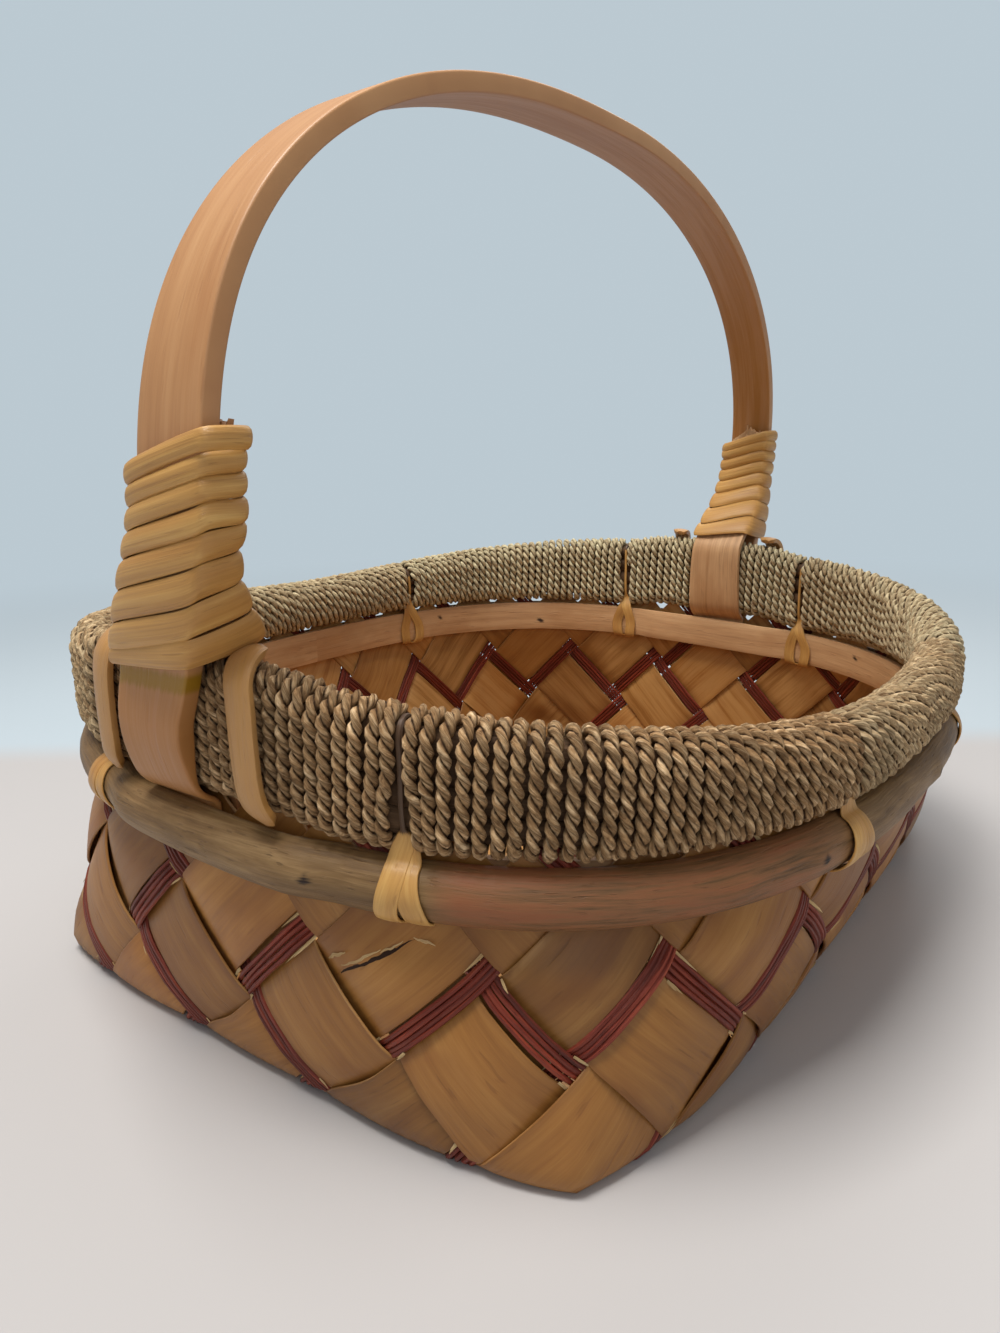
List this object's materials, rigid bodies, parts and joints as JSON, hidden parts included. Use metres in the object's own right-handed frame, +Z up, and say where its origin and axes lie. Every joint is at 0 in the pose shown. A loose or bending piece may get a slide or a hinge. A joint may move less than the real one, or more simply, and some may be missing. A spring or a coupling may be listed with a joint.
{
  "type": "decorative basket",
  "caption": "oval plaited chip-wood basket on a square-cornered base, cord-wound rim over two hoops, fixed tall bentwood handle bound on with flat cane",
  "frame": {"origin": "centre of the bounding box at the level of the surface the basket stands on", "axes": "+Z up, Y along the handle's span (the longest extent), X across the basket"},
  "size_m": [0.384, 0.4867, 0.366],
  "materials": {
    "splint": "thin chip-wood strips, semi-matt, with narrow dark red strands between them",
    "hoop_wood": "peeled round wood, semi-matt, with small knots",
    "cord": "two-ply seagrass cord, matt",
    "bentwood": "smooth bentwood, thin clear finish",
    "skein": "flat cane skein, slight gloss"
  },
  "bodies": {
    "root": {"woven_body": "splint", "outer_hoop": "hoop_wood", "inner_hoop": "hoop_wood", "rim_core_upper": "hoop_wood", "rim_core_lower": "hoop_wood", "handle_strap": "bentwood", "splint_near": "bentwood", "splint_far": "bentwood", "wrap_near": "skein", "wrap_far": "skein", "lashing_near_left": "skein", "lashing_near_right": "skein", "lashing_far_left": "skein", "lashing_far_right": "skein", "rim_winding_1": "cord", "tie_1": "skein", "rim_winding_2": "cord", "tie_2": "skein", "rim_winding_3": "cord", "tie_3": "skein", "rim_winding_4": "cord", "tie_4": "skein", "rim_winding_5": "cord", "tie_5": "skein", "rim_winding_6": "cord", "tie_6": "skein", "rim_winding_7": "cord", "tie_7": "skein", "rim_winding_8": "cord", "tie_8": "skein"}
  },
  "joints": []
}
